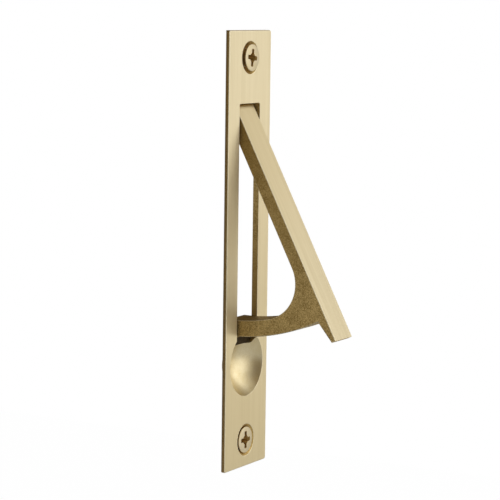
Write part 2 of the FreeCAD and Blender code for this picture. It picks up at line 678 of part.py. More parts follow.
def make_screw(doc, name, height, lift, turned):
    """A flat-head wood screw along +Y: coned head with a cross recess, shank and point."""
    head = doc.addObject("Part::Cone", f"{name}_head")
    bind(
        head,
        Radius1="Sizes.screw_head_diameter / 2",
        Radius2="Sizes.screw_shank_diameter / 2",
        Height=HEAD_HEIGHT,
    )
    shank = doc.addObject("Part::Cylinder", f"{name}_shank")
    bind(
        shank,
        Radius="Sizes.screw_shank_diameter / 2",
        Height="Sizes.screw_length - Sizes.screw_point_length - " + HEAD_HEIGHT,
    )
    point = doc.addObject("Part::Cone", f"{name}_point")
    point.Radius2 = 0
    bind(point, Radius1="Sizes.screw_shank_diameter / 2", Height="Sizes.screw_point_length")
    for piece in (head, shank, point):
        piece.Placement.Rotation = INTO_DOOR
    bind(shank, **{"Placement.Base.y": HEAD_HEIGHT})
    bind(point, **{"Placement.Base.y": "Sizes.screw_length - Sizes.screw_point_length"})
    solid = doc.addObject("Part::MultiFuse", f"{name}_solid")
    solid.Shapes = [head, shank, point]

    wings = []
    for number, angle in enumerate((0, 90)):
        wing = doc.addObject("Part::Wedge", f"{name}_wing_{number}")
        wing.Ymin = 0
        wing.Placement.Rotation = Rotation(Vector(0, 1, 0), angle)
        half_floor = "Sizes.recess_span / 2 - Sizes.recess_draft * Sizes.recess_depth"
        bind(
            wing,
            Ymax="Sizes.recess_depth",
            Xmin="-Sizes.recess_span / 2", Xmax="Sizes.recess_span / 2",
            Zmin="-Sizes.recess_width / 2", Zmax="Sizes.recess_width / 2",
            X2min="-(" + half_floor + ")", X2max=half_floor,
            Z2min="-Sizes.recess_width / 2", Z2max="Sizes.recess_width / 2",
        )
        wings.append(wing)
    core = doc.addObject("Part::Wedge", f"{name}_core")
    core.Ymin = 0
    core.Placement.Rotation = Rotation(Vector(0, 1, 0), 45)
    bind(
        core,
        Ymax="Sizes.recess_depth",
        Xmin="-Sizes.recess_core / 2", Xmax="Sizes.recess_core / 2",
        Zmin="-Sizes.recess_core / 2", Zmax="Sizes.recess_core / 2",
        X2min="-Sizes.recess_core / 4", X2max="Sizes.recess_core / 4",
        Z2min="-Sizes.recess_core / 4", Z2max="Sizes.recess_core / 4",
    )
    cross = doc.addObject("Part::MultiFuse", f"{name}_cross")
    cross.Shapes = wings + [core]

    screw = doc.addObject("Part::Cut", name)
    screw.Base = solid
    screw.Tool = cross
    screw.Placement.Rotation = Rotation(Vector(0, 1, 0), turned)
    bind(screw, **{
        "Placement.Base.y": f"{HEAD_FACE} - {lift} - Sizes.plate_thickness",
        "Placement.Base.z": height,
    })
    return screw


def make_mounting_screws(doc, size):
    """The lower screw is driven home; the upper one stands proud and a little turned."""
    upper = make_screw(
        doc, "upper_screw", SCREW_HEIGHT, "Sizes.upper_screw_lift", size.upper_screw_turn
    )
    lower = make_screw(doc, "lower_screw", f"-({SCREW_HEIGHT})", "0", 0)
    pair = doc.addObject("Part::Compound", "mounting_screws")
    pair.Label = "mounting_screws"
    pair.Links = [upper, lower]
    return pair


def check(doc, subparts):
    """Stop if any object failed or any sub-part is not a sound solid."""
    for item in doc.Objects:
        if "Invalid" in item.State or "Error" in item.State:
            raise RuntimeError(f"{item.Label} failed: {item.State}")
        if item.isDerivedFrom("Sketcher::SketchObject") and not item.FullyConstrained:
            raise RuntimeError(f"{item.Label} is not fully constrained")
    for item in subparts:
        if item.Shape.isNull() or not item.Shape.isValid() or not item.Shape.Solids:
            raise RuntimeError(f"{item.Label} has no sound shape")


def main():
    doc = FreeCAD.newDocument("pocket_door_pull")
    size = Sizes(make_sheet(doc))
    subparts = [
        make_faceplate(doc, size),
        make_pull_arm(doc, size),
        make_pivot_pin(doc, size),
        make_mounting_screws(doc, size),
    ]
    doc.recompute()
    check(doc, subparts)
    os.makedirs("parts", exist_ok=True)
    for item in subparts:
        item.Shape.exportStep(f"parts/{item.Label}.step")
        box = item.Shape.BoundBox
        print(
            f"{item.Label}: {len(item.Shape.Solids)} solid(s), volume {item.Shape.Volume:.2f},"
            f" x {box.XMin:.2f} to {box.XMax:.2f}, y {box.YMin:.2f} to {box.YMax:.2f},"
            f" z {box.ZMin:.2f} to {box.ZMax:.2f}"
        )


main()
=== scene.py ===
"""Looks of a pocket door edge pull: satin brass plate, swinging cast arm, pivot pin and two screws.

Everything is in metres in the part's own frame: +Z runs up the plate, +Y goes into the door's edge,
the plate's back lies at y = 0 and the arm's pivot lies in that plane.
"""
import json
import math

import bmesh
import bpy
from bpy.props import FloatProperty, FloatVectorProperty, PointerProperty
from mathutils import Matrix, Vector


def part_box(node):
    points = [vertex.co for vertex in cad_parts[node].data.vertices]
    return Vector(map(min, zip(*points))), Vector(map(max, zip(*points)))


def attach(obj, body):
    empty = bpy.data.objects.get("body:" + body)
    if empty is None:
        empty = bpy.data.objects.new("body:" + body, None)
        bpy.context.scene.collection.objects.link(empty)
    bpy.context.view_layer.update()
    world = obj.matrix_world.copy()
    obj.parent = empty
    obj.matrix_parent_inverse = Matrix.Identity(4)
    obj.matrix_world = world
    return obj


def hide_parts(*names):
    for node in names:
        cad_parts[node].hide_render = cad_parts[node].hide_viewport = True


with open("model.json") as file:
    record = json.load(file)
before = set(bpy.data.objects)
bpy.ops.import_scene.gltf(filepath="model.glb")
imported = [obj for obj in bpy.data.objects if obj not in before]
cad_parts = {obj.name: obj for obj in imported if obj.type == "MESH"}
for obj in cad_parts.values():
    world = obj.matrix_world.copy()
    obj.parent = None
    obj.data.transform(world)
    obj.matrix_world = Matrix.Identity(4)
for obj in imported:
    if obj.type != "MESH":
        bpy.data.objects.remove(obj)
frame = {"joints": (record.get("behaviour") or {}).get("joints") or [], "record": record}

bl_info = {
    "name": "Pocket Door Edge Pull",
    "version": (1, 0, 0),
    "blender": (4, 5, 0),
    "location": "3D View > Sidebar > Edge Pull",
    "description": "Builds a pocket door edge pull in satin and cast brass",
    "category": "Object",
}

MM = 0.001
X, Y, Z = range(3)
QUARTER_TURN = math.pi / 2
MIDDLE = Vector((0, 0, 0))

# How far apart points may lie and still count as one: in a plane, in an outline and after a cut.
IN_PLANE = 0.0001 * MM
IN_OUTLINE = 0.001 * MM
AFTER_CUT = 0.002 * MM

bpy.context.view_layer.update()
PLATE_LOW, PLATE_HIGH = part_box("faceplate")
SCREWS_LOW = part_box("mounting_screws")[0]
PIN_LOW, PIN_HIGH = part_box("pivot_pin")
SWING = frame["joints"][0]
PIVOT = Vector(SWING["pos_m"])
SCREW_SPACING = frame["record"]["mounts"][0]["dims"]["pcd_mm"]


def length(name, description, millimetres):
    return FloatProperty(
        name=name, description=description, default=millimetres * MM,
        precision=5, subtype="DISTANCE", unit="LENGTH",
    )


def angle(name, description, degrees):
    return FloatProperty(
        name=name, description=description, default=math.radians(degrees),
        subtype="ANGLE", unit="ROTATION",
    )


def ratio(name, description, value, low=0.0, high=1.0):
    return FloatProperty(
        name=name, description=description, default=value, min=low, max=high, subtype="FACTOR",
    )


def colour(name, description, red, green, blue):
    return FloatVectorProperty(
        name=name, description=description, default=(red, green, blue),
        size=3, min=0.0, max=1.0, subtype="COLOR",
    )


class PlateSizes(bpy.types.PropertyGroup):
    width: length("Width", "Plate, side to side", (PLATE_HIGH.x - PLATE_LOW.x) / MM)
    height: length("Height", "Plate, end to end", (PLATE_HIGH.z - PLATE_LOW.z) / MM)
    thickness: length("Thickness", "Plate, front to back", -PLATE_LOW.y / MM)
    corner_radius: length("Corner Radius", "Corners seen from the front", 0.6)
    rear_bevel: length("Rear Bevel", "Bevel behind the long sides", 1.0)
    front_edge: length("Front Edge", "Rounding of the front edge", 0.25)
    eased_edge: length("Eased Edge", "Rounding of the slot, dish and holes", 0.12)
    slot_width: length("Slot Width", "Slot that the arm swings through", 9.2)
    slot_top: length("Slot Top", "Slot's upper end above the middle", 34.08)
    slot_bottom: length("Slot Bottom", "Slot's lower end below the middle", 22.3)
    slot_corner: length("Slot Corner", "Corners of the slot", 0.4)
    dish_drop: length("Dish Drop", "Thumb dish below the middle", 26.6)
    dish_rim: length("Dish Rim", "Dish's radius at the front face", 7.48)
    dish_depth: length("Dish Depth", "Deepest point of the dish", 4.2)
    dish_wall: length("Dish Wall", "Metal behind the dish", 0.9)
    hole_spacing: length("Hole Spacing", "Between the two screw holes", SCREW_SPACING)
    hole_diameter: length("Hole Diameter", "Screw hole", 4.1)
    sink_diameter: length("Countersink Diameter", "Countersink at the front face", 7.66)
    lug_width: length("Lug Width", "Lug beside the slot", 1.6)
    lug_height: length("Lug Height", "Lug along the plate", 9.4)
    lug_reach: length("Lug Reach", "Lug behind the plate", 1.35)
    lug_corner: length("Lug Corner", "Rear corners of a lug", 1.0)
    saddle_diameter: length("Saddle Diameter", "Seat of the pin in a lug", 1.54)
    saddle_mouth: length("Saddle Mouth", "Rear mouth of the seat", 1.3)
    sink_angle: angle("Countersink Angle", "Full angle of the countersink", 102.5)


class ArmSizes(bpy.types.PropertyGroup):
    width: length("Width", "Arm, side to side", 8.2)
    bar_thickness: length("Bar Thickness", "Straight bar", 3.1)
    top_radius: length("Top Radius", "Upper end about the pivot", 3.5)
    nose_radius: length("Nose Radius", "Front of the upper end", 0.9)
    heel_radius: length("Heel Radius", "Back of the upper end", 1.2)
    finger_radius: length("Finger Radius", "Finger opening behind the bar", 8.5)
    hook_radius: length("Hook Radius", "Hook's lower face about the pivot", 50.1)
    hook_thickness: length("Hook Thickness", "Upper face to lower face", 3.85)
    lip_overhang: length("Lip Overhang", "Free end beyond the hook", 5.55)
    lip_root: length("Lip Root", "Lip's thickness at the hook", 2.35)
    lip_tip: length("Lip Tip", "Lip's thickness at its end", 1.15)
    toe_length: length("Toe Length", "Toe beyond the hook's lower face", 2.4)
    toe_span: length("Toe Span", "Across the toe", 8.8)
    stop_gap: length("Stop Gap", "Between the ears and the plate", 0.1)
    tail_thickness: length("Tail Thickness", "Tail behind the plate", 1.4)
    ear_span: length("Ear Span", "Across both stop ears", 11.2)
    ear_drop: length("Ear Drop", "Ears beyond the hook's lower face", 0.6)
    ear_height: length("Ear Height", "Ears along the plate", 3.2)
    bore_diameter: length("Bore Diameter", "Bore for the pivot pin", 1.6)
    eased_edge: length("Eased Edge", "Rounding of the arm's edges", 0.2)
    open_angle: angle("Open Angle", "Arm from flush to its stop", SWING["range_deg"][1])


class PinSizes(bpy.types.PropertyGroup):
    diameter: length("Diameter", "Pivot pin", (PIN_HIGH.z - PIN_LOW.z) / MM)
    span: length("Length", "Pivot pin, end to end", (PIN_HIGH.x - PIN_LOW.x) / MM)
    end_rounding: length("End Rounding", "Rounded ends of the pin", 0.25)


class ScrewSizes(bpy.types.PropertyGroup):
    head_diameter: length("Head Diameter", "Flat head", 6.2)
    rim_height: length("Rim Height", "Rounded rim of the head", 0.14)
    shank_diameter: length("Shank Diameter", "Over the thread", 3.16)
    root_diameter: length("Root Diameter", "Under the thread", 2.3)
    neck_diameter: length("Neck Diameter", "Plain neck in the plate's hole", 4.06)
    neck_end: length("Neck End", "Plain neck, from the head's face", 2.5)
    span: length("Length", "Head to tip", 6.35)
    point_length: length("Point Length", "Pointed end", 2.0)
    thread_pitch: length("Thread Pitch", "From turn to turn", 0.9)
    recess_span: length("Recess Span", "Cross recess, tip to tip", 4.1)
    recess_width: length("Recess Width", "One wing of the recess", 1.0)
    recess_core: length("Recess Core", "Square middle of the recess", 2.2)
    recess_depth: length("Recess Depth", "Cross recess", 1.6)
    upper_lift: length("Upper Lift", "How far the upper screw stands proud", 0.55)
    head_angle: angle("Head Angle", "Full angle under the head", 75.0)
    upper_turn: angle("Upper Turn", "Turn of the upper screw's cross", 7.0)
    recess_draft: ratio("Recess Draft", "Lean of a wing's end per depth", 0.55)


class BrassFinishes(bpy.types.PropertyGroup):
    satin: colour("Satin Brass", "Brushed front faces", 0.83, 0.725, 0.49)
    satin_low: colour("Satin Brass, Dull", "Duller streaks of the brushing", 0.77, 0.67, 0.44)
    # Painted shade: brushed faces turn towards this tone at one end.
    satin_shaded: colour("Satin Brass, Deep", "Deeper tone of the brushed faces", 0.76, 0.63, 0.36)
    dish: colour("Dish Brass", "Buffed thumb dish", 0.77, 0.67, 0.44)
    dish_low: colour("Dish Brass, Dull", "Haze in the buffed dish", 0.68, 0.56, 0.31)
    cast_pale: colour("Cast Brass, Pale", "High grains of the cast skin", 0.64, 0.47, 0.195)
    cast_dark: colour("Cast Brass, Dark", "Low grains of the cast skin", 0.31, 0.21, 0.065)
    # Painted shade: cast faces darken towards this tone at one end, such as the arm's upper end in the slot
    # and the slot walls' lower end.
    cast_shade: colour("Cast Brass, Shaded", "Painted shade towards one end of cast faces", 0.27, 0.17, 0.045)
    # Painted shade: darker copies of the cast tones for the plate's long sides and the hook's upper face,
    # which face away from the light.
    shaded_cast_pale: colour("Plate Side, Pale", "High grains of plate sides and hook top", 0.34, 0.225, 0.08)
    shaded_cast_dark: colour("Plate Side, Dark", "Low grains of plate sides and hook top", 0.19, 0.125, 0.04)
    # Painted shade: near-black tones for the toe and ears, which lie in shadow behind the plate.
    tail_shade_pale: colour("Tail Shade, Pale", "Painted shade on the tail behind the plate", 0.05, 0.03, 0.008)
    tail_shade_dark: colour("Tail Shade, Dark", "Darkest painted shade on the tail", 0.02, 0.012, 0.003)
    edge: colour("Worn Edge", "Rubbed edges", 0.86, 0.77, 0.54)
    screw: colour("Screw Brass", "Turned heads of the screws", 0.68, 0.585, 0.395)
    # Painted shade: the countersink tones are darker than the plate's brass for the shade inside the cut
    # cone.
    sink: colour("Countersink Brass", "Cut cone around a screw", 0.66, 0.47, 0.18)
    sink_shade: colour("Countersink Brass, Shaded", "Painted shade in the cut cone", 0.44, 0.29, 0.09)
    # Painted shade: the recess tones are darker than the turned head for the shade inside the cross.
    recess: colour("Recess Brass", "Struck cross of a screw", 0.62, 0.41, 0.14)
    recess_shade: colour("Recess Brass, Shaded", "Painted shade in the struck cross", 0.32, 0.20, 0.055)


class StudioSettings(bpy.types.PropertyGroup):
    floor_drop: length("Floor Drop", "Floor below the plate's lower end", 220.0)
    camera_distance: length("Camera Distance", "Camera to the plate's middle", 472.26)
    camera_right: length("Camera Right", "Camera to the right of its aim", 0.445)
    camera_up: length("Camera Up", "Camera above its aim", 0.179)
    azimuth: angle("Azimuth", "Camera round the plate", -60.054)
    elevation: angle("Elevation", "Camera above the horizon", 6.8115)
    roll: angle("Roll", "Camera turned about its view", 0.7556)
    lens: FloatProperty(
        name="Lens", description="Focal length on a 36 mm sensor", default=146.84,
        subtype="DISTANCE_CAMERA", unit="CAMERA",
    )
    floor_colour: colour("Floor Colour", "Pale floor", 0.82, 0.82, 0.82)
    shade: colour("Shade", "Shaded part of the studio, behind the camera", 0.10, 0.062, 0.016)
    panel: ratio("Panel", "Brightness of the soft panel in front", 1.48, 0.0, 4.0)
    canopy: ratio("Canopy", "Brightness of the soft light overhead", 0.62)
    card: ratio("Card", "Brightness of the card to the left", 0.5)
    fill: ratio("Fill", "Even light from all round", 0.6)


def as_object(name, shape):
    """Put a finished bmesh into a new object of the scene."""
    mesh = bpy.data.meshes.new(name)
    shape.to_mesh(mesh)
    shape.free()
    piece = bpy.data.objects.new(name, mesh)
    bpy.context.scene.collection.objects.link(piece)
    return piece


def discard(piece):
    """Remove an object and its mesh."""
    mesh = piece.data
    bpy.data.objects.remove(piece)
    bpy.data.meshes.remove(mesh)


def reopen(piece):
    """Take an object out of the scene and go on with its shape as a bmesh."""
    shape = bmesh.new()
    shape.from_mesh(piece.data)
    discard(piece)
    return shape


def append(shape, other):
    """Add one bmesh to another."""
    mesh = bpy.data.meshes.new("appended")
    other.to_mesh(mesh)
    other.free()
    shape.from_mesh(mesh)
    bpy.data.meshes.remove(mesh)


def combine(piece, tool, operation):
    """Cut a shape out of a piece, or join it on."""
    helper = as_object("helper", tool)
    change = piece.modifiers.new("combine", "BOOLEAN")
    change.operation = operation
    change.solver = "EXACT"
    change.object = helper
    bpy.context.view_layer.update()
    view = bpy.context.evaluated_depsgraph_get()
    mesh = bpy.data.meshes.new_from_object(piece.evaluated_get(view))
    if not mesh.polygons:
        raise RuntimeError(f"nothing is left of {piece.name}")
    piece.modifiers.remove(change)
    before = piece.data
    piece.data = mesh
    bpy.data.meshes.remove(before)
    discard(helper)


def round_off(shape, edges, size, segments=3):
    """Round some edges and return the new faces."""
    made = bmesh.ops.bevel(
        shape, geom=list(edges), offset=size, offset_type="OFFSET", segments=segments,
        profile=0.5, affect="EDGES", material=-1, clamp_overlap=True,
    )
    return made["faces"]


def along(edge, axis):
    """Whether an edge runs along an axis."""
    run = edge.verts[1].co - edge.verts[0].co
    return abs(run[axis]) > 0.99 * run.length


def turn_about_y(shape, turn):
    bmesh.ops.rotate(shape, verts=shape.verts[:], cent=MIDDLE, matrix=Matrix.Rotation(turn, 3, "Y"))


def block(low, high):
    """A block between two corners."""
    low, high = Vector(low), Vector(high)
    shape = bmesh.new()
    place = Matrix.Translation((low + high) / 2) @ Matrix.Diagonal((*(high - low), 1.0))
    bmesh.ops.create_cube(shape, size=1.0, matrix=place)
    return shape


def rod(centre, radius, span, axis, segments=64, end_radius=None):
    """A rod or cone about a middle point, along X or Y; the end radius is on the far side."""
    shape = bmesh.new()
    turn = Matrix.Rotation(QUARTER_TURN, 4, "Y")
    if axis == Y:
        turn = Matrix.Rotation(-QUARTER_TURN, 4, "X")
    bmesh.ops.create_cone(
        shape, cap_ends=True, segments=segments, radius1=radius,
        radius2=radius if end_radius is None else end_radius,
        depth=span, matrix=Matrix.Translation(centre) @ turn,
    )
    return shape


def ball(centre, radius):
    """A fine ball with its poles along Y."""
    shape = bmesh.new()
    turn = Matrix.Rotation(QUARTER_TURN, 4, "X")
    bmesh.ops.create_uvsphere(
        shape, u_segments=144, v_segments=96, radius=radius,
        matrix=Matrix.Translation(centre) @ turn,
    )
    return shape


def at(y, z):
    """A point of a side view, in the plane x = 0."""
    return Vector((0, y, z))


class SideView:
    """Draws a closed outline in the plane x = 0, stretch by stretch."""

    def __init__(self, start):
        self.shape = bmesh.new()
        self.last = self.shape.verts.new(start)

    def line_to(self, point):
        made = bmesh.ops.extrude_vert_indiv(self.shape, verts=[self.last])
        self.last = made["verts"][0]
        self.last.co = point

    def arc_to(self, centre, point, steps):
        start = self.last.co - centre
        end = point - centre
        swept = math.atan2(start.cross(end).x, start.dot(end))
        made = bmesh.ops.spin(
            self.shape, geom=[self.last], cent=centre, axis=(1, 0, 0),
            angle=swept, steps=steps, use_merge=False,
        )
        self.last = [item for item in made["geom_last"] if isinstance(item, bmesh.types.BMVert)][0]

    def close(self):
        """Join the ends and fill the outline."""
        bmesh.ops.remove_doubles(self.shape, verts=self.shape.verts[:], dist=IN_OUTLINE)
        bmesh.ops.contextual_create(self.shape, geom=self.shape.edges[:])
        return self.shape


def thicken(shape, width):
    """Give a filled side view its width, evenly to both sides."""
    made = bmesh.ops.extrude_face_region(shape, geom=shape.faces[:])
    moved = [item for item in made["geom"] if isinstance(item, bmesh.types.BMVert)]
    bmesh.ops.translate(shape, verts=moved, vec=(width, 0, 0))
    bmesh.ops.translate(shape, verts=shape.verts[:], vec=(-width / 2, 0, 0))
    bmesh.ops.recalc_face_normals(shape, faces=shape.faces[:])


def side_edges(shape, width):
    """Edges around the two flat sides of a thickened side view."""
    return [
        edge for edge in shape.edges
        if all(abs(abs(vert.co.x) - width / 2) < IN_PLANE for vert in edge.verts)
        and not along(edge, X)
    ]


def map_brushing(shape):
    """Lay out a map whose first direction runs across scratches that go along Z."""
    tile = 20 * MM
    layer = shape.loops.layers.uv.new("brushing")
    for face in shape.faces:
        for corner in face.loops:
            place = corner.vert.co
            corner[layer].uv = (place.x / tile, place.z / tile)


def finish_piece(shape, name, body, node, materials):
    """Make an object of a shape, give it its finishes and tie it to the part."""
    for face in shape.faces:
        face.smooth = True
    piece = as_object(name, shape)
    for material in materials:
        piece.data.materials.append(material)
    piece.data.set_sharp_from_angle(angle=math.radians(38))
    even = piece.modifiers.new("even_shading", "WEIGHTED_NORMAL")
    even.keep_sharp = True
    even.weight = 90
    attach(piece, body)
    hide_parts(node)


# A mix node has sockets for every kind of value; these are the ones for colours.
MIX_FACTOR, MIX_FIRST, MIX_SECOND = 0, 6, 7
MIX_RESULT = 2


class NodeSheet:
    """Nodes of a material or of the world, with short words for adding and linking them."""

    def __init__(self, owner):
        owner.use_nodes = True
        self.nodes = owner.node_tree.nodes
        self.links = owner.node_tree.links

    def feed(self, socket, value):
        """Give a socket another node's output, a tone or a plain value."""
        if isinstance(value, bpy.types.NodeSocket):
            self.links.new(value, socket)
        elif socket.type == "RGBA":
            socket.default_value = (*value, 1.0)
        else:
            socket.default_value = value

    def add(self, kind, sockets=None, **settings):
        """Add a node with its settings, feed some of its sockets and return its outputs."""
        node = self.nodes.new(kind)
        for key, value in settings.items():
            setattr(node, key, value)
        for key, value in (sockets or {}).items():
            self.feed(node.inputs[key], value)
        return node.outputs

    def math(self, operation, *values):
        return self.add("ShaderNodeMath", dict(enumerate(values)), operation=operation)["Value"]

    def weighted(self, first, second, weight):
        """Add two values; the first has the given weight and the second the rest."""
        first = self.math("MULTIPLY", first, weight)
        second = self.math("MULTIPLY", second, 1.0 - weight)
        return self.math("ADD", first, second)

    def spread(self, value, source, target=(0.0, 1.0), interpolation="LINEAR"):
        """Carry one range of values over to another."""
        keys = ("Value", "From Min", "From Max", "To Min", "To Max")
        sockets = dict(zip(keys, (value, *source, *target)))
        return self.add("ShaderNodeMapRange", sockets, interpolation_type=interpolation)["Result"]

    def blend(self, factor, first, second):
        """Mix two colours, each a tone or another node's output."""
        sockets = {MIX_FACTOR: factor, MIX_FIRST: first, MIX_SECOND: second}
        return self.add("ShaderNodeMix", sockets, data_type="RGBA")[MIX_RESULT]


class MaterialSheet(NodeSheet):
    """A new material whose patterns lie in the part's own coordinates."""

    def __init__(self, name):
        self.material = bpy.data.materials.new(name)
        super().__init__(self.material)
        self.shader = self.nodes["Principled BSDF"]
        self.place = self.add("ShaderNodeTexCoord")["Object"]
        self.axes = self.add("ShaderNodeSeparateXYZ", {"Vector": self.place})

    def mapped(self, scale, turn):
        """Object coordinates, first turned about X and then stretched."""
        turned = self.add("ShaderNodeMapping", {"Vector": self.place, "Rotation": (turn, 0, 0)})
        sockets = {0: turned["Vector"], 1: scale}
        return self.add("ShaderNodeVectorMath", sockets, operation="MULTIPLY")["Vector"]

    def noise(self, vector, scale, detail=4.0, roughness=0.55):
        sockets = {"Vector": vector, "Scale": scale, "Detail": detail, "Roughness": roughness}
        return self.add("ShaderNodeTexNoise", sockets)["Fac"]

    def bump(self, height, strength, distance, normal=None):
        """Small relief, on top of another one if its normal is given."""
        sockets = {"Height": height, "Strength": strength, "Distance": distance}
        if normal is not None:
            sockets["Normal"] = normal
        return self.add("ShaderNodeBump", sockets)["Normal"]

    def height(self, low, high):
        """0 at one height of the part and 1 at another, in millimetres."""
        return self.spread(self.axes["Z"], (low * MM, high * MM))

    def wear(self):
        """1 on rubbed edges, 0 elsewhere."""
        return self.add("ShaderNodeAttribute", attribute_name="edge_wear")["Fac"]

    def metal(self, tone, roughness, normal, metallic=1.0):
        """Finish the shader as a metal and return the material."""
        sockets = {"Base Color": tone, "Roughness": roughness, "Normal": normal, "Metallic": metallic}
        for key, value in sockets.items():
            self.feed(self.shader.inputs[key], value)
        return self.material


def brushed_brass(name, bright_end, shaded_end, turn=0.0):
    """Satin brass brushed lengthwise, with rubbed edges and painted shade darkening it from one end to the
    other.
    """
    fine_scratches = (5200.0, 5200.0, 55.0)
    broad_scratches = (900.0, 900.0, 18.0)
    tones = bpy.context.scene.pull_finishes
    sheet = MaterialSheet(name)
    fine = sheet.noise(sheet.mapped(fine_scratches, turn), 1.0, 3.0)
    broad = sheet.noise(sheet.mapped(broad_scratches, turn), 1.0, 3.0)
    cloud = sheet.noise(sheet.place, 70.0, 2.0)
    streak = sheet.weighted(fine, broad, 0.55)
    tone = sheet.blend(sheet.spread(streak, (0.36, 0.64)), tones.satin_low, tones.satin)
    tone = sheet.blend(sheet.spread(cloud, (0.3, 0.7), (0.0, 0.35)), tone, tones.satin)
    # Painted shade, darkening the brushing from the bright end towards the shaded end.
    painted_shade = sheet.math("MULTIPLY", sheet.height(bright_end, shaded_end), 0.6)
    tone = sheet.blend(painted_shade, tone, tones.satin_shaded)
    worn = sheet.math("MULTIPLY", sheet.wear(), sheet.spread(broad, (0.3, 0.7), (0.55, 1.0)))
    tone = sheet.blend(worn, tone, tones.edge)
    rough = sheet.spread(streak, (0.35, 0.65), (0.56, 0.46))
    rough = sheet.math("SUBTRACT", rough, sheet.math("MULTIPLY", worn, 0.1))
    across = sheet.add("ShaderNodeTangent", direction_type="UV_MAP", uv_map="brushing")
    sheet.feed(sheet.shader.inputs["Tangent"], across["Tangent"])
    sheet.feed(sheet.shader.inputs["Anisotropic"], 0.8)
    return sheet.metal(tone, rough, sheet.bump(streak, 0.12, 0.03 * MM))


def buffed_brass(name):
    """Soft-buffed brass of the thumb dish, with a faint grain."""
    tones = bpy.context.scene.pull_finishes
    sheet = MaterialSheet(name)
    grain = sheet.noise(sheet.place, 4200.0, 2.0)
    cloud = sheet.noise(sheet.place, 420.0, 3.0)
    haze = sheet.weighted(grain, cloud, 0.5)
    tone = sheet.blend(sheet.spread(haze, (0.36, 0.64)), tones.dish_low, tones.dish)
    rough = sheet.spread(haze, (0.35, 0.65), (0.44, 0.35))
    return sheet.metal(tone, rough, sheet.bump(grain, 0.1, 0.02 * MM))


def cast_brass(name, pale, dark, lit_height=0.0, shaded_height=100.0):
    """Sand-cast skin: brown brass with a fine mottle and grain, and painted shade darkening it towards one
    height.
    """
    tones = bpy.context.scene.pull_finishes
    sheet = MaterialSheet(name)
    grain = sheet.noise(sheet.place, 7200.0, 2.0, 0.65)
    mottle = sheet.noise(sheet.place, 3600.0, 3.0, 0.65)
    patch = sheet.noise(sheet.place, 260.0, 3.0, 0.5)
    depth = sheet.weighted(sheet.weighted(mottle, grain, 0.55), patch, 0.82)
    tone = sheet.blend(sheet.spread(depth, (0.43, 0.57)), dark, pale)
    # Painted shade, darkening the cast skin from the lit height towards the shaded height; by default
    # towards the top.
    stain_and_shade = sheet.math("MULTIPLY", sheet.height(lit_height, shaded_height), 0.8)
    tone = sheet.blend(stain_and_shade, tone, tones.cast_shade)
    worn = sheet.math("MULTIPLY", sheet.wear(), sheet.spread(mottle, (0.3, 0.7), (0.1, 0.7)))
    tone = sheet.blend(worn, tone, tones.edge)
    rough = sheet.spread(depth, (0.35, 0.65), (0.70, 0.50))
    relief = sheet.bump(grain, 0.3, 0.05 * MM, sheet.bump(mottle, 0.4, 0.12 * MM))
    return sheet.metal(tone, rough, relief, 0.95)


def turned_brass(name, tone, dull, axis_height):
    """Turned brass with fine rings about the two screws' axes, above and below the middle."""
    sheet = MaterialSheet(name)
    height = sheet.math("SUBTRACT", sheet.math("ABSOLUTE", sheet.axes["Z"]), axis_height)
    across = sheet.add("ShaderNodeCombineXYZ", {"X": sheet.axes["X"], "Y": height})["Vector"]
    radius = sheet.add("ShaderNodeVectorMath", {0: across}, operation="LENGTH")["Value"]
    ring = sheet.add("ShaderNodeCombineXYZ", {"X": radius, "Y": sheet.axes["Y"]})["Vector"]
    rings = sheet.noise(ring, 5200.0, 2.0)
    stain_and_shade = sheet.noise(sheet.place, 600.0, 4.0)
    tint = sheet.blend(sheet.spread(stain_and_shade, (0.35, 0.7), (0.0, 0.6)), tone, dull)
    rough = sheet.spread(rings, (0.3, 0.7), (0.40, 0.52))
    return sheet.metal(tint, rough, sheet.bump(rings, 0.15, 0.03 * MM))


def dull_shaded_brass(name, tone, dark):
    """Unpolished brass in a recess or a cut hole, in tones darkened with painted shade."""
    sheet = MaterialSheet(name)
    stain_and_shade = sheet.noise(sheet.place, 1500.0, 4.0)
    tint = sheet.blend(sheet.spread(stain_and_shade, (0.35, 0.65)), dark, tone)
    rough = sheet.spread(stain_and_shade, (0.3, 0.7), (0.6, 0.42))
    return sheet.metal(tint, rough, sheet.bump(stain_and_shade, 0.2, 0.08 * MM), 0.9)


def pale_floor(name):
    """Pale floor that the camera sees as white with the object's shadow on it."""
    seen_white = 0.9
    mirrored_white = 0.1
    sheet = MaterialSheet(name)
    sheet.feed(sheet.shader.inputs["Base Color"], bpy.context.scene.pull_studio.floor_colour)
    sheet.feed(sheet.shader.inputs["Roughness"], 0.9)
    sheet.feed(sheet.shader.inputs["Specular IOR Level"], 0.1)
    white = sheet.add("ShaderNodeEmission", {"Strength": 1.05})["Emission"]
    path = sheet.add("ShaderNodeLightPath")
    seen = sheet.math("MULTIPLY", path["Is Camera Ray"], seen_white)
    mirrored = sheet.math("MAXIMUM", path["Is Glossy Ray"], path["Is Transmission Ray"])
    mirrored = sheet.math("MULTIPLY", mirrored, mirrored_white)
    sockets = {0: sheet.math("MAXIMUM", seen, mirrored), 1: sheet.shader.outputs["BSDF"], 2: white}
    mix = sheet.add("ShaderNodeMixShader", sockets)["Shader"]
    sheet.feed(sheet.nodes["Material Output"].inputs["Surface"], mix)
    return sheet.material


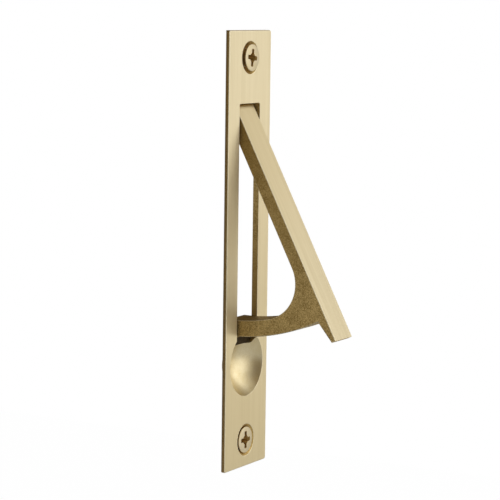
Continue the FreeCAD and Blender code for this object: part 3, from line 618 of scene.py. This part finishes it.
def plate_blank(size):
    """The plain plate: long sides bevelled behind, rounded corners and a rounded front edge."""
    front = -size.thickness
    half_width = size.width / 2
    half_height = size.height / 2
    blank = block((-half_width, front, -half_height), (half_width, 0, half_height))
    rear_long = [
        edge for edge in blank.edges
        if along(edge, Z) and all(vert.co.y > -IN_PLANE for vert in edge.verts)
    ]
    round_off(blank, rear_long, size.rear_bevel, 1)
    round_off(blank, [edge for edge in blank.edges if along(edge, Y)], size.corner_radius, 6)
    rim = [edge for edge in blank.edges if all(vert.co.y < front + IN_PLANE for vert in edge.verts)]
    round_off(blank, rim, size.front_edge, 4)
    return blank


def dish_ball(size):
    """Centre and radius of the ball that the thumb dish is a part of."""
    radius = (size.dish_rim ** 2 + size.dish_depth ** 2) / (2 * size.dish_depth)
    return at(-size.thickness + size.dish_depth - radius, -size.dish_drop), radius


def dish_boss(size):
    """Metal behind the dish, cut flat inside the plate."""
    centre, radius = dish_ball(size)
    boss = ball(centre, radius + size.dish_wall)
    bmesh.ops.bisect_plane(
        boss, geom=boss.verts[:] + boss.edges[:] + boss.faces[:],
        plane_co=(0, -size.thickness / 2, 0), plane_no=(0, 1, 0), clear_inner=True,
    )
    bmesh.ops.holes_fill(boss, edges=boss.edges[:])
    return boss


def lug_block(size):
    """Block behind the slot's upper end, which the slot cuts into two lugs with a bridge on top."""
    outer = size.slot_width / 2 + size.lug_width
    lugs = block(
        (-outer, -size.thickness / 2, PIVOT.z - size.lug_height / 2),
        (outer, size.lug_reach, PIVOT.z + size.lug_height / 2),
    )
    rear = [
        edge for edge in lugs.edges
        if along(edge, X) and all(vert.co.y > 0 for vert in edge.verts)
    ]
    round_off(lugs, rear, size.lug_corner, 8)
    return lugs


def arm_slot(size):
    """The slot's opening, taken well past the plate and the lugs."""
    half = size.slot_width / 2
    slot = block(
        (-half, -4 * size.thickness, -size.slot_bottom), (half, 8 * size.thickness, size.slot_top)
    )
    round_off(slot, [edge for edge in slot.edges if along(edge, Y)], size.slot_corner, 5)
    return slot


def pin_saddles(size):
    """Round seats for the pin in both lugs, and their mouths to the rear."""
    span = size.slot_width + 4 * size.lug_width
    half_mouth = size.saddle_mouth / 2
    seat = rod(PIVOT, size.saddle_diameter / 2, span, X, 48)
    mouth = block(
        (-span / 2, 0, PIVOT.z - half_mouth), (span / 2, 2 * size.lug_reach, PIVOT.z + half_mouth)
    )
    return seat, mouth


def screw_hole(size, height):
    """A hole through the plate and its countersink, which runs a little past both its ends."""
    lead = 0.2 * MM
    slope = math.tan(size.sink_angle / 2)
    hole_radius = size.hole_diameter / 2
    sink_radius = size.sink_diameter / 2
    depth = (sink_radius - hole_radius) / slope
    flare = lead * slope
    through = rod((0, -size.thickness / 2, height), hole_radius, 4 * size.thickness, Y, 72)
    cone = rod(
        (0, -size.thickness + depth / 2, height), sink_radius + flare,
        depth + 2 * lead, Y, 72, hole_radius - flare,
    )
    return through, cone


class PULL_OT_faceplate(bpy.types.Operator):
    """Build the satin plate with its slot, thumb dish, boss, lugs and countersunk holes"""
    bl_idname = "edge_pull.faceplate"
    bl_label = "Build Faceplate"

    def execute(self, context):
        size = context.scene.pull_plate
        tones = context.scene.pull_finishes
        holes = (size.hole_spacing / 2, -size.hole_spacing / 2)
        piece = as_object("plate_blank", plate_blank(size))
        combine(piece, dish_boss(size), "UNION")
        combine(piece, lug_block(size), "UNION")
        combine(piece, arm_slot(size), "DIFFERENCE")
        combine(piece, ball(*dish_ball(size)), "DIFFERENCE")
        for cutter in pin_saddles(size):
            combine(piece, cutter, "DIFFERENCE")
        for height in holes:
            for cutter in screw_hole(size, height):
                combine(piece, cutter, "DIFFERENCE")

        shape = reopen(piece)
        bmesh.ops.remove_doubles(shape, verts=shape.verts[:], dist=AFTER_CUT)
        self.ease_rims(shape, size)
        self.choose_finishes(shape, size, holes)
        map_brushing(shape)
        finish_piece(
            shape, "faceplate_satin", "plate", "faceplate",
            [
                # Painted shade darkens the plate's brushed front towards its lower end.
                brushed_brass("satin_plate_brass", 40.0, -40.0),
                cast_brass("cast_plate_skin", tones.cast_pale, tones.cast_dark),
                # Painted shade: the countersinks get darker brass tones.
                dull_shaded_brass("countersink_brass", tones.sink, tones.sink_shade),
                buffed_brass("buffed_dish_brass"),
                # Painted shade: the long sides get darker cast tones.
                cast_brass("plate_side_painted_shade", tones.shaded_cast_pale, tones.shaded_cast_dark),
                # Painted shade darkens the slot walls towards their lower end.
                cast_brass("cast_slot_wall", tones.cast_pale, tones.cast_dark, 16.0, -8.0),
            ],
        )
        return {"FINISHED"}

    def ease_rims(self, shape, size):
        """Round the sharp edges in the front face and mark them as rubbed."""
        sharp = math.radians(25)
        in_front = -size.thickness + 0.02 * MM
        wear = shape.faces.layers.float.new("edge_wear")
        rims = [
            edge for edge in shape.edges
            if edge.is_manifold
            and edge.calc_face_angle() > sharp
            and all(vert.co.y < in_front for vert in edge.verts)
        ]
        for face in round_off(shape, rims, size.eased_edge):
            face[wear] = 1.0

    def choose_finishes(self, shape, size, holes):
        """Tell front, dish, countersinks, long sides, slot walls and the rest apart."""
        satin, skin, sink, dish, side, wall = range(6)
        flat_front, eased_front = -0.999, -0.25
        wear = shape.faces.layers.float["edge_wear"]
        dish_centre, dish_radius = dish_ball(size)
        for face in shape.faces:
            centre = face.calc_center_median()
            turned = face.normal
            from_hole = min(abs(centre.z - height) for height in holes)
            in_sink = math.hypot(centre.x, from_hole) < size.sink_diameter / 2 and turned.y < 0.5
            in_dish = abs((centre - dish_centre).length - dish_radius) < 0.03 * MM
            on_side = abs(centre.x) > size.width / 2 - size.rear_bevel
            on_wall = abs(turned.x) > 0.9 and abs(abs(centre.x) - size.slot_width / 2) < 0.01 * MM
            if in_dish and face[wear] == 0:
                face.material_index = dish
            elif face[wear] > 0 or turned.y < flat_front:
                face.material_index = satin
            # Countersink faces take tones darkened with painted shade.
            elif in_sink:
                face.material_index = sink
            elif turned.y < eased_front:
                face.material_index = satin
                face[wear] = 1.0
            else:
                # Long sides take darker cast tones as painted shade, and slot walls cast tones with painted
                # shade towards their lower end.
                face.material_index = side if on_side else wall if on_wall else skin


class ArmPlan:
    """Side view of the arm while it is shut, with the pivot at the origin."""

    def __init__(self, size, front):
        self.size = size
        self.front = front
        self.back = front + size.bar_thickness
        # A small step keeps faces of the hook, the ears and the toe out of one plane.
        self.step = 0.02 * MM
        self.hook_inner = size.hook_radius - size.hook_thickness
        self.tail_offset = size.stop_gap + size.tail_thickness
        self.inwards = at(math.cos(size.open_angle), math.sin(size.open_angle))
        self.downwards = at(math.sin(size.open_angle), -math.cos(size.open_angle))

    def beside_bar(self, offset, distance, side):
        """Point at an offset behind the bar's back and a distance from the pivot."""
        across = self.back + offset
        return at(across, side * math.sqrt(distance ** 2 - across ** 2))

    def behind_plate(self, offset, radius):
        """Point at a radius from the pivot and, while the arm is open, an offset behind the plate."""
        return offset * self.inwards + math.sqrt(radius ** 2 - offset ** 2) * self.downwards

    def outline(self):
        """Bar, lip, hook and finger opening, down to the hook's end behind the plate."""
        size = self.size
        outward = Vector((0, 1, 0))
        finger_reach = self.hook_inner - size.finger_radius
        finger = self.beside_bar(size.finger_radius, finger_reach, -1)
        heel_reach = size.top_radius - size.heel_radius
        heel = self.beside_bar(-size.heel_radius, heel_reach, 1)
        nose_reach = size.top_radius - size.nose_radius
        nose_y = self.front + size.nose_radius
        nose = at(nose_y, math.sqrt(nose_reach ** 2 - nose_y ** 2))
        tip = -(size.hook_radius + size.lip_overhang)
        root = self.front + size.lip_root
        end = self.tail_offset - self.step
        top = at(self.front, nose.z)

        side = SideView(top)
        side.line_to(at(self.front, tip))
        side.line_to(at(self.front + size.lip_tip, tip))
        side.line_to(at(root, -math.sqrt(size.hook_radius ** 2 - root ** 2)))
        side.arc_to(MIDDLE, self.behind_plate(end, size.hook_radius), 24)
        side.line_to(self.behind_plate(end, self.hook_inner))
        side.arc_to(MIDDLE, finger * (self.hook_inner / finger_reach), 20)
        side.arc_to(finger, finger - size.finger_radius * outward, 40)
        side.line_to(heel + size.heel_radius * outward)
        side.arc_to(heel, heel * (size.top_radius / heel_reach), 10)
        side.arc_to(MIDDLE, nose * (size.top_radius / nose_reach), 10)
        side.arc_to(nose, top, 10)
        return side.close()

    def tail(self, inner, outer, inset):
        """A stretch of the tail between two radii, set in from the tail's front and back."""
        near = self.size.stop_gap + inset
        far = self.tail_offset - inset
        side = SideView(self.behind_plate(near, outer))
        side.arc_to(MIDDLE, self.behind_plate(far, outer), 3)
        side.line_to(self.behind_plate(far, inner))
        side.arc_to(MIDDLE, self.behind_plate(near, inner), 3)
        side.line_to(self.behind_plate(near, outer))
        return side.close()


class PULL_OT_arm(bpy.types.Operator):
    """Build the cast arm with its bar, finger opening, hook, lip and stop ears"""
    bl_idname = "edge_pull.arm"
    bl_label = "Build Arm"

    def execute(self, context):
        size = context.scene.pull_arm
        tones = context.scene.pull_finishes
        plan = ArmPlan(size, -context.scene.pull_plate.thickness)
        shape = plan.outline()
        thicken(shape, size.width)
        wear = shape.faces.layers.float.new("edge_wear")
        for face in round_off(shape, side_edges(shape, size.width), size.eased_edge):
            face[wear] = 1.0
        piece = as_object("arm_blank", shape)

        ear_outer = size.hook_radius + size.ear_drop
        toe_inner = size.hook_radius - size.toe_length / 2
        stretches = (
            (plan.tail(ear_outer - size.ear_height, ear_outer, 0.0), size.ear_span),
            (plan.tail(toe_inner, size.hook_radius + size.toe_length, 2 * plan.step), size.toe_span),
        )
        for tail, span in stretches:
            thicken(tail, span)
            round_off(tail, side_edges(tail, span), size.eased_edge / 2)
            combine(piece, tail, "UNION")
        combine(piece, rod(MIDDLE, size.bore_diameter / 2, 2 * size.width, X), "DIFFERENCE")

        shape = reopen(piece)
        bmesh.ops.remove_doubles(shape, verts=shape.verts[:], dist=AFTER_CUT)
        bmesh.ops.dissolve_degenerate(shape, edges=shape.edges[:], dist=AFTER_CUT)
        self.choose_finishes(shape, size, plan)
        map_brushing(shape)
        swing = Matrix.Rotation(-size.open_angle, 3, "X")
        bmesh.ops.rotate(shape, verts=shape.verts[:], cent=MIDDLE, matrix=swing)
        bmesh.ops.translate(shape, verts=shape.verts[:], vec=PIVOT)
        finish_piece(
            shape, "pull_arm_cast", "arm", "pull_arm",
            [
                # Painted shade darkens the arm's brushed front towards its upper end, deep in the slot.
                brushed_brass("satin_arm_brass", -5.0, 34.0, size.open_angle),
                # Painted shade darkens the arm's cast skin towards its upper end, in the slot.
                cast_brass("cast_arm_skin", tones.cast_pale, tones.cast_dark, -8.0, 38.0),
                # Painted shade: the toe and ears get near-black tones.
                cast_brass("tail_painted_shade", tones.tail_shade_pale, tones.tail_shade_dark),
                # Painted shade: the hook's upper face gets darker cast tones.
                cast_brass("hook_top_painted_shade", tones.shaded_cast_pale, tones.shaded_cast_dark),
            ],
        )
        return {"FINISHED"}

    def choose_finishes(self, shape, size, plan):
        """Tell the brushed front, the toe, the hook's upper face and the cast skin apart; toe and upper
        face get painted shade.
        """
        satin, skin, scale, shaded_hook_top = range(4)
        for face in shape.faces:
            centre = face.calc_center_median()
            on_front = face.normal.y < -0.6 and centre.y < plan.front + 0.25 * MM
            on_toe = centre.length > size.hook_radius + 0.05 * MM and centre.y > 0
            on_hook = centre.y > plan.back + size.finger_radius / 2
            on_top = on_hook and face.normal.dot(plan.downwards) < -0.7
            # The hook's upper face takes darker cast tones as painted shade, and the toe and ears a
            # near-black painted shade.
            inner = shaded_hook_top if on_top else skin
            face.material_index = satin if on_front else scale if on_toe else inner


class PULL_OT_pin(bpy.types.Operator):
    """Build the drawn pivot pin with its rounded ends"""
    bl_idname = "edge_pull.pin"
    bl_label = "Build Pivot Pin"

    def execute(self, context):
        size = context.scene.pull_pin
        tones = context.scene.pull_finishes
        shape = rod(PIVOT, size.diameter / 2, size.span, X)
        ends = [edge for edge in shape.edges if not along(edge, X)]
        wear = shape.faces.layers.float.new("edge_wear")
        for face in round_off(shape, ends, size.end_rounding, 4):
            face[wear] = 1.0
        finish_piece(
            shape, "pivot_pin_drawn", "plate", "pivot_pin",
            [cast_brass("drawn_pin_brass", tones.cast_pale, tones.cast_dark)],
        )
        return {"FINISHED"}


def screw_body(size):
    """Head, tapered neck, root of the thread and point, turned about Y from y = 0."""
    head = size.head_diameter / 2
    neck = size.neck_diameter / 2
    root = size.root_diameter / 2
    slope = math.tan(size.head_angle / 2)
    taper = 0.5 * MM
    rim = at(size.rim_height, head - size.rim_height)
    side = SideView(MIDDLE)
    side.line_to(at(0, rim.z))
    side.arc_to(rim, at(rim.y, head), 4)
    side.line_to(at(1.5 * size.rim_height, head - 0.1 * size.rim_height))
    side.line_to(at((head - neck) / slope, neck))
    side.line_to(at(size.neck_end, neck))
    side.line_to(at(size.neck_end + taper, root))
    side.line_to(at(size.span - size.point_length, root))
    side.line_to(at(size.span, 0))
    shape = side.shape
    bmesh.ops.spin(
        shape, geom=shape.verts[:] + shape.edges[:], cent=MIDDLE, axis=(0, 1, 0),
        angle=math.tau, steps=96, use_merge=True,
    )
    bmesh.ops.remove_doubles(shape, verts=shape.verts[:], dist=IN_OUTLINE)
    bmesh.ops.recalc_face_normals(shape, faces=shape.faces[:])
    return shape


# How far the shapes that cut a screw's recess start in front of its head.
RECESS_LEAD = 0.3 * MM


def screw_wing(size, turn):
    """One wing of the cross recess, leaning in towards its floor."""
    taper = 0.82
    corner = 0.22 * MM
    half = size.recess_span / 2 + size.recess_draft * RECESS_LEAD
    floor = size.recess_span / 2 - size.recess_draft * size.recess_depth
    half_width = size.recess_width / 2
    wing = block((-half, -RECESS_LEAD, -half_width), (half, size.recess_depth, half_width))
    deep = [vert for vert in wing.verts if vert.co.y > 0]
    bmesh.ops.scale(wing, verts=deep, vec=(floor / half, 1.0, taper))
    ends = [edge for edge in wing.edges if abs(edge.verts[1].co.y - edge.verts[0].co.y) > RECESS_LEAD]
    round_off(wing, ends, corner, 4)
    turn_about_y(wing, turn)
    return wing


def screw_core(size):
    """Square middle of the recess, turned to its wings and half as wide at its floor."""
    half = size.recess_core / 2 * (1 + RECESS_LEAD / size.recess_depth / 2)
    core = block((-half, -RECESS_LEAD, -half), (half, size.recess_depth, half))
    deep = [vert for vert in core.verts if vert.co.y > 0]
    floor = size.recess_core / 4 / half
    bmesh.ops.scale(core, verts=deep, vec=(floor, 1.0, floor))
    turn_about_y(core, QUARTER_TURN / 2)
    return core


def screw_thread(size):
    """A wood thread wound round the root and fading along the point."""
    steps = 48
    thinnest = 0.02
    start = size.neck_end + 0.3 * MM
    end = size.span - 0.35 * MM
    root = size.root_diameter / 2 - 0.05 * MM
    crest = size.shank_diameter / 2
    foot = 0.52 * MM
    flat = 0.08 * MM
    flank = (foot - flat) / 2
    turns = (end - start) / size.thread_pitch
    side = SideView(at(start, root))
    side.line_to(at(start + flank, crest))
    side.line_to(at(start + flank + flat, crest))
    side.line_to(at(start + foot, root))
    side.line_to(at(start, root))
    shape = side.close()
    bmesh.ops.spin(
        shape, geom=shape.faces[:], cent=MIDDLE, axis=(0, 1, 0),
        dvec=(0, size.thread_pitch / steps, 0), angle=math.tau * turns, steps=int(steps * turns),
    )
    for vert in shape.verts:
        if vert.co.y > size.span - size.point_length:
            fade = max(thinnest, (size.span - vert.co.y) / size.point_length)
            vert.co.x *= fade
            vert.co.z *= fade
            vert.co.y = min(vert.co.y, size.span)
    bmesh.ops.recalc_face_normals(shape, faces=shape.faces[:])
    return shape


class PULL_OT_screws(bpy.types.Operator):
    """Build the two flat-head wood screws with cross recesses and threads"""
    bl_idname = "edge_pull.screws"
    bl_label = "Build Screws"

    def execute(self, context):
        size = context.scene.pull_screws
        tones = context.scene.pull_finishes
        half_spacing = context.scene.pull_plate.hole_spacing / 2
        seat = SCREWS_LOW.y + size.upper_lift
        both = bmesh.new()
        placings = ((half_spacing, size.upper_lift, size.upper_turn), (-half_spacing, 0.0, 0.0))
        for height, lift, turn in placings:
            screw = self.build_screw(size)
            turn_about_y(screw, turn)
            bmesh.ops.translate(screw, verts=screw.verts[:], vec=(0, seat - lift, height))
            append(both, screw)
        finish_piece(
            both, "wood_screws", "plate", "mounting_screws",
            [
                turned_brass("turned_screw_brass", tones.screw, tones.dish_low, half_spacing),
                # Painted shade: the recess gets darker brass tones.
                dull_shaded_brass("recess_painted_shade_brass", tones.recess, tones.recess_shade),
            ],
        )
        return {"FINISHED"}

    def build_screw(self, size):
        """One screw along Y, its head's face at y = 0, with the recess told apart from the rest."""
        turned, struck = range(2)
        slack = 0.05 * MM
        piece = as_object("screw", screw_body(size))
        for turn in (0.0, QUARTER_TURN):
            combine(piece, screw_wing(size, turn), "DIFFERENCE")
        combine(piece, screw_core(size), "DIFFERENCE")
        screw = reopen(piece)
        for face in screw.faces:
            centre = face.calc_center_median()
            inside = math.hypot(centre.x, centre.z) < size.recess_span / 2 + slack
            in_head = 0.1 * slack < centre.y < size.recess_depth + slack
            in_recess = inside and in_head and face.normal.y < 0.3
            # Recess faces take tones darkened with painted shade.
            face.material_index = struck if in_recess else turned
        append(screw, screw_thread(size))
        return screw


def lay_floor(studio):
    """A square floor below the plate."""
    reach = 0.9
    shape = bmesh.new()
    place = Matrix.Translation((0, 0, PLATE_LOW.z - studio.floor_drop))
    bmesh.ops.create_grid(shape, x_segments=1, y_segments=1, size=reach, matrix=place)
    floor = as_object("pale_floor", shape)
    floor.data.materials.append(pale_floor("pale_floor"))


def hang_key_panel(scene):
    """A soft light in front, to the right and above, turned to the part's middle."""
    key = bpy.data.lights.new("key_panel", "AREA")
    key.shape = "RECTANGLE"
    key.size = 0.9
    key.size_y = 1.2
    key.energy = 1.2
    panel = bpy.data.objects.new("key_panel", key)
    panel.location = (1.0, -1.1, 0.8)
    panel.rotation_euler = (-panel.location).to_track_quat("-Z", "Y").to_euler()
    scene.collection.objects.link(panel)


def light_studio(scene, studio):
    """White to the camera; for the metal a panel in front, a canopy, a card to the left and brown shade."""
    white = (1.0, 1.0, 1.0)
    front_right = (0.42, -0.9, 0.09)
    overhead = (0.1, -0.4, 0.91)
    rear_left = (-0.86, 0.5, 0.0)
    scene.world = bpy.data.worlds.new("studio")
    sheet = NodeSheet(scene.world)
    path = sheet.add("ShaderNodeLightPath")
    place = sheet.add("ShaderNodeNewGeometry")["Position"]

    def soft_side(direction, start, end, strength):
        """A soft-edged bright side of the studio in one direction."""
        sockets = {0: place, 1: Vector(direction).normalized()}
        facing = sheet.add("ShaderNodeVectorMath", sockets, operation="DOT_PRODUCT")["Value"]
        return sheet.spread(facing, (start, end), (0.0, strength), "SMOOTHSTEP")

    sides = sheet.blend(soft_side(front_right, 0.55, 0.95, 1.0), studio.shade, (studio.panel,) * 3)
    sides = sheet.blend(soft_side(overhead, 0.55, 0.98, studio.canopy), sides, white)
    sides = sheet.blend(soft_side(rear_left, 0.1, 0.9, studio.card), sides, white)
    lit = sheet.blend(path["Is Glossy Ray"], (studio.fill,) * 3, sides)
    clear = sheet.math("MAXIMUM", path["Is Camera Ray"], path["Is Transmission Ray"])
    sheet.feed(sheet.nodes["Background"].inputs["Color"], sheet.blend(clear, lit, white))


def place_camera(scene, studio):
    """Look at the plate's front from the left and a little above, slightly rolled."""
    back = Vector((
        math.sin(studio.azimuth) * math.cos(studio.elevation),
        -math.cos(studio.azimuth) * math.cos(studio.elevation),
        math.sin(studio.elevation),
    ))
    right = (-back).cross(Vector((0, 0, 1))).normalized()
    up = right.cross(-back)
    turned_right = math.cos(studio.roll) * right + math.sin(studio.roll) * up
    turned_up = math.cos(studio.roll) * up - math.sin(studio.roll) * right
    place = Vector((0, PLATE_LOW.y, 0)) + back * studio.camera_distance
    place += turned_right * studio.camera_right + turned_up * studio.camera_up
    lens = bpy.data.cameras.new("camera")
    lens.sensor_width = 36.0
    lens.lens = studio.lens
    lens.clip_start = 10 * MM
    camera = bpy.data.objects.new("camera", lens)
    turn = Matrix((turned_right, turned_up, back)).transposed().to_4x4()
    camera.matrix_world = Matrix.Translation(place) @ turn
    scene.collection.objects.link(camera)
    scene.camera = camera


class PULL_OT_stage(bpy.types.Operator):
    """Set up the pale floor, the soft studio light and the camera"""
    bl_idname = "edge_pull.stage"
    bl_label = "Set Up Stage"

    def execute(self, context):
        scene = context.scene
        studio = scene.pull_studio
        scene.view_settings.view_transform = "Standard"
        lay_floor(studio)
        light_studio(scene, studio)
        hang_key_panel(scene)
        place_camera(scene, studio)
        return {"FINISHED"}


class PULL_PT_panel(bpy.types.Panel):
    """Sizes, finishes and build steps of the edge pull"""
    bl_idname = "PULL_PT_panel"
    bl_label = "Pocket Door Edge Pull"
    bl_space_type = "VIEW_3D"
    bl_region_type = "UI"
    bl_category = "Edge Pull"

    def draw(self, context):
        for operator in OPERATORS:
            self.layout.operator(operator.bl_idname)
        for name in GROUPS:
            group = getattr(context.scene, name)
            box = self.layout.box()
            for key in group.__annotations__:
                box.prop(group, key)


OPERATORS = (PULL_OT_faceplate, PULL_OT_arm, PULL_OT_pin, PULL_OT_screws, PULL_OT_stage)
GROUPS = {
    "pull_plate": PlateSizes,
    "pull_arm": ArmSizes,
    "pull_pin": PinSizes,
    "pull_screws": ScrewSizes,
    "pull_finishes": BrassFinishes,
    "pull_studio": StudioSettings,
}


def register():
    for name, group in GROUPS.items():
        bpy.utils.register_class(group)
        setattr(bpy.types.Scene, name, PointerProperty(type=group))
    for item in (*OPERATORS, PULL_PT_panel):
        bpy.utils.register_class(item)


def unregister():
    for item in (PULL_PT_panel, *reversed(OPERATORS)):
        bpy.utils.unregister_class(item)
    for name, group in GROUPS.items():
        delattr(bpy.types.Scene, name)
        bpy.utils.unregister_class(group)


def main():
    register()
    bpy.ops.edge_pull.faceplate()
    bpy.ops.edge_pull.arm()
    bpy.ops.edge_pull.pin()
    bpy.ops.edge_pull.screws()
    bpy.ops.edge_pull.stage()


if __name__ == "__main__":
    main()
